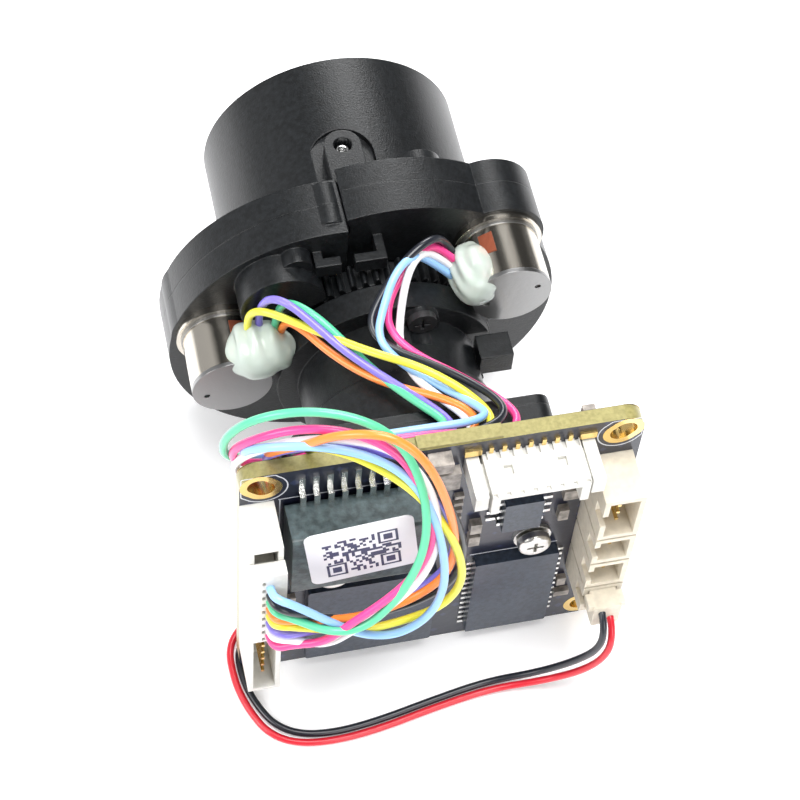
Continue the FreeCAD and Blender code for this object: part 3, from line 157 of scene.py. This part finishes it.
FILTER_LEADS = {
    "filter_lead_black": [
        (15.9, FILTER_PLUG_Y + 0.2, -5.0), (15.9, -8.6, -5.4), (15.6, -9.6, -8.2), (13.9, -8.6, -12.4),
        (10.6, -7.2, -16.6), (5.6, -6.4, -18.4), (-0.4, -7.4, -18.5), (-6.0, -8.5, -18.6),
        (-10.6, -9.0, -18.6), (-14.2, -8.6, -18.6), (-16.6, -7.1, -18.6), (-17.9, -4.8, -18.6),
        (-18.7, -2.4, -18.6), (-18.95, -0.4, -18.5), (-18.9, 1.4, -18.5), (-18.1, 2.8, -18.3),
        (-16.4, 3.7, -17.4), (-14.2, 4.4, -14.8), (-12.2, 4.8, -11.4), (-10.6, 4.6, -7.7)],
    "filter_lead_red": [
        (16.9, FILTER_PLUG_Y + 0.2, -6.2), (16.9, -8.6, -6.6), (16.5, -9.9, -9.2), (14.8, -9.3, -13.4),
        (11.2, -7.9, -17.3), (5.9, -7.2, -18.6), (-0.3, -8.2, -18.6), (-6.0, -9.4, -18.6),
        (-10.8, -9.9, -18.6), (-14.8, -9.5, -18.6), (-17.4, -7.9, -18.6), (-18.8, -5.2, -18.6),
        (-19.6, -2.5, -18.5), (-19.8, -0.3, -18.3), (-19.75, 1.7, -18.2), (-18.9, 3.4, -18.0),
        (-17.0, 4.6, -17.0), (-15.0, 5.3, -14.6), (-13.2, 5.6, -11.2), (-11.8, 4.8, -7.7)],
}


# ---- materials ----
def material(name, color, rough, metal=0.0, bump=0.0, bump_scale=4000.0, speckle=0.0, coat=0.0,
             transmission=0.0, ior=1.45, subsurface=0.0, alpha=1.0, rounding=0.0):
    """A surface with fine bump and colour speckle on object coordinates; every size is in metres."""
    mat = bpy.data.materials.new(name)
    mat.use_nodes = True
    tree = mat.node_tree
    shader = tree.nodes["Principled BSDF"]
    shader.inputs["Base Color"].default_value = (*color, 1.0)
    shader.inputs["Roughness"].default_value = rough
    shader.inputs["Metallic"].default_value = metal
    shader.inputs["IOR"].default_value = ior
    shader.inputs["Coat Weight"].default_value = coat
    shader.inputs["Coat Roughness"].default_value = 0.15
    shader.inputs["Transmission Weight"].default_value = transmission
    shader.inputs["Alpha"].default_value = alpha
    if subsurface:
        shader.inputs["Subsurface Weight"].default_value = subsurface
        shader.inputs["Subsurface Radius"].default_value = (1.0, 1.0, 1.0)
        shader.inputs["Subsurface Scale"].default_value = 0.0006
    place = tree.nodes.new("ShaderNodeTexCoord").outputs["Object"]
    normal = None
    if rounding:
        soft = tree.nodes.new("ShaderNodeBevel")
        soft.samples = 4
        soft.inputs["Radius"].default_value = rounding
        normal = soft.outputs["Normal"]
    if bump:
        noise = tree.nodes.new("ShaderNodeTexNoise")
        noise.inputs["Scale"].default_value = bump_scale
        noise.inputs["Detail"].default_value = 2.0
        tree.links.new(place, noise.inputs["Vector"])
        relief = tree.nodes.new("ShaderNodeBump")
        relief.inputs["Strength"].default_value = bump
        relief.inputs["Distance"].default_value = 0.00005
        tree.links.new(noise.outputs["Fac"], relief.inputs["Height"])
        if normal:
            tree.links.new(normal, relief.inputs["Normal"])
        normal = relief.outputs["Normal"]
    if normal:
        tree.links.new(normal, shader.inputs["Normal"])
    if speckle:
        patches = tree.nodes.new("ShaderNodeTexNoise")
        patches.inputs["Scale"].default_value = bump_scale * 0.35
        patches.inputs["Detail"].default_value = 6.0
        ramp = tree.nodes.new("ShaderNodeValToRGB")
        ramp.color_ramp.elements[0].position = 0.35
        ramp.color_ramp.elements[1].position = 0.72
        ramp.color_ramp.elements[0].color = (*[c * (1 - speckle) for c in color], 1)
        ramp.color_ramp.elements[1].color = (*[min(1, c * (1 + speckle)) for c in color], 1)
        tree.links.new(place, patches.inputs["Vector"])
        tree.links.new(patches.outputs["Fac"], ramp.inputs["Fac"])
        tree.links.new(ramp.outputs["Color"], shader.inputs["Base Color"])
    return mat


def board_material():
    """Dark blue-black mask with faint copper runs on the faces, bare glass fibre on the edge."""
    mat = material("solder_mask", (0.012, 0.016, 0.035), 0.3, bump=0.25, bump_scale=1500.0, coat=0.3)
    tree = mat.node_tree
    shader = tree.nodes["Principled BSDF"]
    place = tree.nodes.new("ShaderNodeTexCoord").outputs["Object"]
    parts = tree.nodes.new("ShaderNodeSeparateXYZ")
    tree.links.new(place, parts.inputs[0])

    def maths(kind, a, b):
        node = tree.nodes.new("ShaderNodeMath")
        node.operation = kind
        for socket, value in zip(node.inputs, (a, b)):
            if isinstance(value, (int, float)):
                socket.default_value = value
            else:
                tree.links.new(value, socket)
        return node.outputs[0]

    runs = tree.nodes.new("ShaderNodeTexVoronoi")
    runs.distance = "MANHATTAN"
    runs.feature = "F1"
    runs.inputs["Scale"].default_value = 650.0
    tree.links.new(place, runs.inputs["Vector"])
    run_color = tree.nodes.new("ShaderNodeValToRGB")
    run_color.color_ramp.elements[0].color = (0.022, 0.030, 0.075, 1)
    run_color.color_ramp.elements[1].color = (0.010, 0.012, 0.026, 1)
    run_color.color_ramp.elements[0].position = 0.25
    run_color.color_ramp.elements[1].position = 0.4
    tree.links.new(runs.outputs["Distance"], run_color.inputs["Fac"])
    fibre = tree.nodes.new("ShaderNodeTexNoise")
    fibre.inputs["Scale"].default_value = 2600.0
    tree.links.new(place, fibre.inputs["Vector"])
    fibre_color = tree.nodes.new("ShaderNodeValToRGB")
    fibre_color.color_ramp.elements[0].color = (0.17, 0.15, 0.05, 1)
    fibre_color.color_ramp.elements[1].color = (0.40, 0.36, 0.15, 1)
    tree.links.new(fibre.outputs["Fac"], fibre_color.inputs["Fac"])
    inside = maths("MULTIPLY", maths("GREATER_THAN", parts.outputs["Y"], 0.00003),
                   maths("LESS_THAN", parts.outputs["Y"], 0.00157))
    pick = tree.nodes.new("ShaderNodeMix")
    pick.data_type = "RGBA"
    tree.links.new(inside, pick.inputs["Factor"])
    tree.links.new(run_color.outputs["Color"], pick.inputs["A"])
    tree.links.new(fibre_color.outputs["Color"], pick.inputs["B"])
    tree.links.new(pick.outputs["Result"], shader.inputs["Base Color"])
    return mat


M = {
    "board_mask": board_material(),
    "black_moulding": material("black_moulding", (0.007, 0.008, 0.009), 0.34, bump=0.45, bump_scale=5200.0,
                               speckle=0.45, rounding=0.00018),
    "chip_black": material("chip_black", (0.030, 0.040, 0.060), 0.30, bump=0.2, bump_scale=6000.0,
                           speckle=0.3),
    "transformer_case": material("transformer_case", (0.06, 0.085, 0.09), 0.38, bump=0.5, bump_scale=3500.0,
                                 speckle=0.45, rounding=0.00015),
    "tin": material("tin", (0.80, 0.80, 0.78), 0.22, metal=1.0, bump=0.3, bump_scale=2500.0),
    "label_paper": material("label_paper", (0.80, 0.80, 0.84), 0.35, bump=0.1, coat=0.3),
    "label_ink": material("label_ink", (0.03, 0.035, 0.10), 0.4, bump=0.1),
    "label_ink_grey": material("label_ink_grey", (0.20, 0.20, 0.26), 0.4, bump=0.1),
    "ceramic": material("ceramic", (0.30, 0.27, 0.24), 0.45, bump=0.3, speckle=0.5, bump_scale=3000.0),
    "connector_white": material("connector_white", (0.70, 0.69, 0.65), 0.35, bump=0.15, speckle=0.06,
                                subsurface=0.25, rounding=0.0001),
    "connector_cream": material("connector_cream", (0.66, 0.60, 0.49), 0.38, bump=0.15, speckle=0.08,
                                subsurface=0.25, rounding=0.0001),
    "gold": material("gold", (0.85, 0.62, 0.25), 0.22, metal=1.0, bump=0.35, bump_scale=1800.0),
    "silkscreen": material("silkscreen", (0.62, 0.64, 0.68), 0.6, bump=0.1),
    "sensor": material("sensor", (0.03, 0.03, 0.035), 0.2, bump=0.1),
    "screw_steel": material("screw_steel", (0.72, 0.71, 0.68), 0.28, metal=1.0, bump=0.4, bump_scale=2500.0,
                            rounding=0.00008),
    "screw_black": material("screw_black", (0.05, 0.05, 0.052), 0.35, metal=0.6, bump=0.3, rounding=0.00008),
    "ir_glass": material("ir_glass", (0.45, 0.75, 0.80), 0.05, transmission=0.8, bump=0.02),
    "lens_glass": material("lens_glass", (0.75, 0.80, 0.90), 0.02, transmission=0.95, ior=1.6, bump=0.01,
                           coat=0.5),
    "magnet": material("magnet", (0.09, 0.09, 0.10), 0.45, metal=0.7, bump=0.3),
    "copper": material("copper", (0.45, 0.13, 0.07), 0.35, metal=0.8, bump=0.8, bump_scale=1800.0),
    "motor_steel": material("motor_steel", (0.62, 0.58, 0.51), 0.16, metal=1.0, bump=0.25, bump_scale=900.0),
    "motor_end": material("motor_end", (0.30, 0.30, 0.30), 0.30, metal=1.0, bump=0.3, bump_scale=2200.0,
                          rounding=0.0001),
    "gear_white": material("gear_white", (0.80, 0.79, 0.73), 0.4, bump=0.1),
    "spring_steel": material("spring_steel", (0.80, 0.80, 0.80), 0.2, metal=1.0, bump=0.1),
    "glue": material("glue", (0.78, 0.88, 0.80), 0.10, bump=0.35, bump_scale=900.0, transmission=0.45,
                     ior=1.4, subsurface=0.5),
}
WIRE_COLORS = {
    "yellow": (0.78, 0.74, 0.06), "purple": (0.20, 0.16, 0.62), "green": (0.10, 0.55, 0.30),
    "orange": (0.92, 0.24, 0.04), "white": (0.80, 0.80, 0.82), "light_blue": (0.28, 0.52, 0.85),
    "pink": (0.83, 0.06, 0.26), "black": (0.012, 0.014, 0.020), "red": (0.60, 0.015, 0.03),
}
for color_name, rgb in WIRE_COLORS.items():
    M["wire_" + color_name] = material("wire_" + color_name, rgb, 0.3, bump=0.12, bump_scale=1400.0,
                                       coat=0.25)

SLOTS = {s["node"]: s["material_slot"] for s in frame["record"]["subparts"]}
for node, piece in NODES.items():
    finish = M.get(SLOTS.get(node, ""))
    if finish:
        piece.data.materials.clear()
        piece.data.materials.append(finish)


# ---- cords ----
def lead(name, node, points, diameter, finish):
    curve = bpy.data.curves.new(name, "CURVE")
    curve.dimensions = "3D"
    curve.resolution_u = 10
    curve.bevel_depth = diameter / 2
    curve.bevel_resolution = 4
    curve.use_fill_caps = True
    spline = curve.splines.new("NURBS")
    spline.points.add(len(points) - 1)
    for point, at in zip(spline.points, points):
        point.co = (at[0] * MM, at[1] * MM, at[2] * MM, 1.0)
    spline.order_u = 3
    spline.use_endpoint_u = True
    curve.materials.append(M[finish])
    piece = bpy.data.objects.new(name, curve)
    bpy.context.scene.collection.objects.link(piece)
    bpy.context.view_layer.update()
    length = line_length(curve)
    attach(piece, "housing")
    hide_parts(node)
    return piece


def line_length(curve):
    """The length of a curve, measured on a copy with no thickness, which is removed again."""
    line = curve.copy()
    line.bevel_depth = 0.0
    shadow = bpy.data.objects.new("measure", line)
    mesh = bpy.data.meshes.new_from_object(shadow)
    at = [v.co.copy() for v in mesh.vertices]
    bpy.data.objects.remove(shadow)
    bpy.data.curves.remove(line)
    bpy.data.meshes.remove(mesh)
    return sum((b - a).length for a, b in zip(at, at[1:]))


for name, points in LEADS.items():
    lead(name[:-5] + "_motor_wire", name, points, WIRE_D * MM, "wire_" + name[:-5])
for name, points in FILTER_LEADS.items():
    lead(name.replace("lead", "wire"), name, points, FILTER_WIRE_D * MM,
         "wire_" + name.split("_")[-1])


# ---- small helpers for new pieces ----
def new_piece(name, mesh_maker, finish, body="housing", replaces=()):
    shape = bmesh.new()
    mesh_maker(shape)
    mesh = bpy.data.meshes.new(name)
    shape.to_mesh(mesh)
    shape.free()
    mesh.materials.append(M[finish])
    piece = bpy.data.objects.new(name, mesh)
    bpy.context.scene.collection.objects.link(piece)
    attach(piece, body)
    if replaces:
        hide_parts(*replaces)
    return piece


def add_box(shape, x0, x1, y0, y1, z0, z1, turn=0.0, about=(0.0, 0.0)):
    """A box in millimetres, turned about +Y by an angle seen from +Z towards +X."""
    made = bmesh.ops.create_cube(shape, size=1.0)["verts"]
    c, s = math.cos(turn), math.sin(turn)
    for v in made:
        x = (x0 + x1) / 2 + v.co.x * (x1 - x0)
        y = (y0 + y1) / 2 + v.co.y * (y1 - y0)
        z = (z0 + z1) / 2 + v.co.z * (z1 - z0)
        dx, dz = x - about[0], z - about[1]
        v.co = Vector(((about[0] + dx * c - dz * s) * MM, y * MM, (about[1] + dx * s + dz * c) * MM))


def add_band(shape, outline_in, outline_out, y0, y1):
    """A closed band between two outlines of the same count, lists of (x, z) in millimetres."""
    rows = []
    for outline, y in ((outline_in, y0), (outline_out, y0), (outline_out, y1), (outline_in, y1)):
        rows.append([shape.verts.new((x * MM, y * MM, z * MM)) for x, z in outline])
    count = len(outline_in)
    for k in range(count):
        n = (k + 1) % count
        for a, b in ((0, 1), (1, 2), (2, 3), (3, 0)):
            shape.faces.new((rows[a][k], rows[b][k], rows[b][n], rows[a][n]))
    bmesh.ops.recalc_face_normals(shape, faces=shape.faces)


def slot_outline(x, z, r, half, angle, count=48):
    """A circle of radius r stretched by half each way along an angle in degrees."""
    a = math.radians(angle)
    points = []
    for k in range(count):
        t = 2 * math.pi * k / count
        px, pz = r * math.cos(t), r * math.sin(t)
        along = px * math.cos(a) + pz * math.sin(a)
        push = half if along >= 0 else -half
        points.append((x + px + push * math.cos(a), z + pz + push * math.sin(a)))
    return points


# ---- gold-plated board holes ----
HOLE_AT = 17.0               # each way from the board's centre
HOLE_STRETCH = 0.35          # the upper two holes are short diagonal slots
BOARD_T = 1.6
PLATE = 0.03


def plating(shape):
    for sx in (-1, 1):
        for sz in (-1, 1):
            half = HOLE_STRETCH if sz > 0 else 0.0
            angle = 45 if sx > 0 else 135
            x, z = HOLE_AT * sx, HOLE_AT * sz
            hole = slot_outline(x, z, 1.04, half, angle)
            wall = slot_outline(x, z, 1.11, half, angle)
            pad = slot_outline(x, z, 1.72, half, angle)
            add_band(shape, hole, wall, -PLATE, BOARD_T + PLATE)
            add_band(shape, wall, pad, -PLATE, 0.0)
            add_band(shape, wall, pad, BOARD_T, BOARD_T + PLATE)


new_piece("hole_plating", plating, "gold")


def silkscreen(shape):
    for sx in (-1, 1):
        # the rings stop at the board's edge
        angle = 45 if sx > 0 else 135
        ring_in = [(max(-18.8, min(18.8, x)), min(18.8, z))
                   for x, z in slot_outline(HOLE_AT * sx, HOLE_AT, 2.15, HOLE_STRETCH, angle)]
        ring_out = [(max(-18.9, min(18.9, x)), min(18.9, z))
                    for x, z in slot_outline(HOLE_AT * sx, HOLE_AT, 2.27, HOLE_STRETCH, angle)]
        add_band(shape, ring_in, ring_out, -0.012, 0.0)
    for x0, x1, z0, z1 in ((-15.4, -2.2, 14.35, 14.47), (-15.3, -15.18, 4.2, 14.4), (-2.3, -2.18, 4.2, 14.4),
                           (3.2, 12.9, 12.2, 12.32), (4.0, 12.9, -2.5, -2.38)):
        add_box(shape, x0, x1, -0.012, 0.0, z0, z1)


new_piece("board_silkscreen", silkscreen, "silkscreen")

# ---- printed label pattern ----
LABEL_AT = (-8.4, 10.8)
LABEL_TURN = math.radians(7.0)
LABEL_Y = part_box("barcode_label")[0][1] / MM
INK = 0.015


def label_cells():
    """A generic block pattern: the cells that are inked, from a small fixed generator."""
    state = 12345
    cells = []
    for row in range(17):
        for column in range(25):
            state = (1103515245 * state + 12345) % 2147483648
            corner = (row < 6 and column < 8) or (row < 6 and column > 16) or (row > 10 and column > 16)
            if not corner and (state >> 12) % 100 < 50:
                cells.append((row, column))
    return cells


def label_marks(shape):
    wide, tall, x_left, z_low = 0.29, 0.375, -3.6, -3.7
    half_x, half_z, t = 0.95, 1.1, 0.24         # the hollow corner squares
    for row, column in label_cells():
        add_box(shape, LABEL_AT[0] + x_left + column * wide, LABEL_AT[0] + x_left + (column + 1) * wide,
                LABEL_Y - INK, LABEL_Y, LABEL_AT[1] + z_low + row * tall,
                LABEL_AT[1] + z_low + (row + 1) * tall, LABEL_TURN, LABEL_AT)
    for cx, cz in ((x_left + 4 * wide - 0.1, z_low + 1.05), (x_left + 21.2 * wide, z_low + 1.05),
                   (x_left + 21.2 * wide, z_low + 14.4 * tall)):
        for x0, x1, z0, z1 in ((-half_x, half_x, half_z - t, half_z),
                               (-half_x, half_x, -half_z, -half_z + t),
                               (-half_x, -half_x + t, -half_z, half_z),
                               (half_x - t, half_x, -half_z, half_z)):
            add_box(shape, LABEL_AT[0] + cx + x0, LABEL_AT[0] + cx + x1, LABEL_Y - INK, LABEL_Y,
                    LABEL_AT[1] + cz + z0, LABEL_AT[1] + cz + z1, LABEL_TURN, LABEL_AT)
        add_box(shape, LABEL_AT[0] + cx - 0.42, LABEL_AT[0] + cx + 0.42, LABEL_Y - INK, LABEL_Y,
                LABEL_AT[1] + cz - 0.5, LABEL_AT[1] + cz + 0.5, LABEL_TURN, LABEL_AT)


new_piece("label_block_pattern", label_marks, "label_ink")


# ---- hot glue with ribs where the wires lie under it ----
def glue(name, centre, radii, tilt, seed):
    def maker(shape):
        bmesh.ops.create_icosphere(shape, subdivisions=5, radius=1.0)
        for v in shape.verts:
            n = v.co.normalized()
            rib = 0.075 * math.sin(13.0 * (n.x * math.cos(tilt) + n.z * math.sin(tilt)) + seed)
            lump = 0.05 * math.sin(4.0 * n.y + 3.0 * n.x + seed)
            r = 0.95 + rib * (1 - abs(n.y)) + lump
            v.co = Vector(((centre[0] + radii[0] * n.x * r) * MM, (centre[1] + radii[1] * n.y * r) * MM,
                           (centre[2] + radii[2] * n.z * r) * MM))
        for face in shape.faces:
            face.smooth = True
    return new_piece(name, maker, "glue", replaces=("glue_beads",))


glue("zoom_motor_glue", (-12.9, 22.3, 5.7), (3.6, 3.3, 3.0), 0.3, 0.5)
glue("focus_motor_glue", (8.8, 24.1, 10.7), (2.5, 3.6, 3.3), 1.2, 2.0)


# ---- motor seams and coil windows ----
CAN_R = 4.05


def motor_details(node, window_angle):
    low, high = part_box(node)
    cx, cz = (low[0] + high[0]) / 2 / MM, (low[2] + high[2]) / 2 / MM
    front = high[1] / MM

    def seam(shape):
        inner = slot_outline(cx, cz, CAN_R - 0.05, 0, 0, 64)
        outer = slot_outline(cx, cz, CAN_R + 0.08, 0, 0, 64)
        add_band(shape, inner, outer, front - 1.0, front - 0.1)

    def window(shape):
        a = math.radians(window_angle)
        at_x, at_z = cx + (CAN_R - 0.1) * math.cos(a), cz + (CAN_R - 0.1) * math.sin(a)
        add_box(shape, at_x - 0.16, at_x + 0.16, front - 4.0, front - 1.7, at_z - 0.75, at_z + 0.75, a,
                (at_x, at_z))

    new_piece(node + "_seam", seam, "motor_end")
    new_piece(node + "_window", window, "copper")


motor_details("zoom_motor_can", 72)
motor_details("focus_motor_can", 118)

# ---- floor and light ----
FLOOR_Z = CAD_BOX[0][2] - 0.00005


def stage_plane(size):
    bpy.ops.mesh.primitive_plane_add(size=size, location=(0, 0.03, FLOOR_Z))
    floor = bpy.context.object
    floor.name = "floor"
    finish = bpy.data.materials.new("floor_white")
    finish.use_nodes = True
    finish.node_tree.nodes["Principled BSDF"].inputs["Base Color"].default_value = (0.90, 0.90, 0.91, 1)
    finish.node_tree.nodes["Principled BSDF"].inputs["Roughness"].default_value = 0.6
    finish.node_tree.nodes["Principled BSDF"].inputs["Emission Color"].default_value = (1, 1, 1, 1)
    finish.node_tree.nodes["Principled BSDF"].inputs["Emission Strength"].default_value = 0.22
    floor.data.materials.append(finish)


stage_plane(3.0)


def area_light(name, at, look_at, size, power, color=(1, 1, 1)):
    data = bpy.data.lights.new(name, "AREA")
    data.shape = "DISK"
    data.size = size
    data.energy = power
    data.color = color
    lamp = bpy.data.objects.new(name, data)
    bpy.context.scene.collection.objects.link(lamp)
    lamp.location = at
    lamp.rotation_euler = (Vector(look_at) - Vector(at)).to_track_quat("-Z", "Y").to_euler()


area_light("overhead_softbox", (0.02, 0.0, 0.42), (0, 0.02, 0), 0.30, 2.6)
area_light("left_softbox", (-0.40, -0.05, 0.25), (0, 0.02, 0), 0.25, 1.3)
area_light("front_softbox", (0.12, -0.42, 0.22), (0, 0.0, 0), 0.30, 1.0)
area_light("back_softbox", (0.10, 0.42, 0.25), (0, 0.03, 0), 0.25, 1.3)

world = bpy.data.worlds.new("studio")
bpy.context.scene.world = world
world.use_nodes = True
sky = world.node_tree
heading = sky.nodes.new("ShaderNodeSeparateXYZ")
sky.links.new(sky.nodes.new("ShaderNodeTexCoord").outputs["Generated"], heading.inputs[0])
stretch = sky.nodes.new("ShaderNodeMapRange")
stretch.inputs["From Min"].default_value = -1.0
sky.links.new(heading.outputs["X"], stretch.inputs["Value"])
strips = sky.nodes.new("ShaderNodeValToRGB")
strips.color_ramp.elements[0].position = 0.0
strips.color_ramp.elements[0].color = (0.85, 0.85, 0.87, 1)
strips.color_ramp.elements[1].position = 1.0
strips.color_ramp.elements[1].color = (0.9, 0.9, 0.92, 1)
for at, grey in ((0.22, 1.0), (0.34, 0.05), (0.46, 0.12), (0.55, 1.0), (0.66, 0.9), (0.76, 0.06),
                 (0.88, 0.1)):
    strips.color_ramp.elements.new(at).color = (grey, grey, grey, 1)
sky.links.new(stretch.outputs["Result"], strips.inputs["Fac"])
sky.links.new(strips.outputs["Color"], sky.nodes["Background"].inputs["Color"])
sky.nodes["Background"].inputs["Strength"].default_value = 0.6
bpy.context.scene.view_settings.view_transform = "Standard"
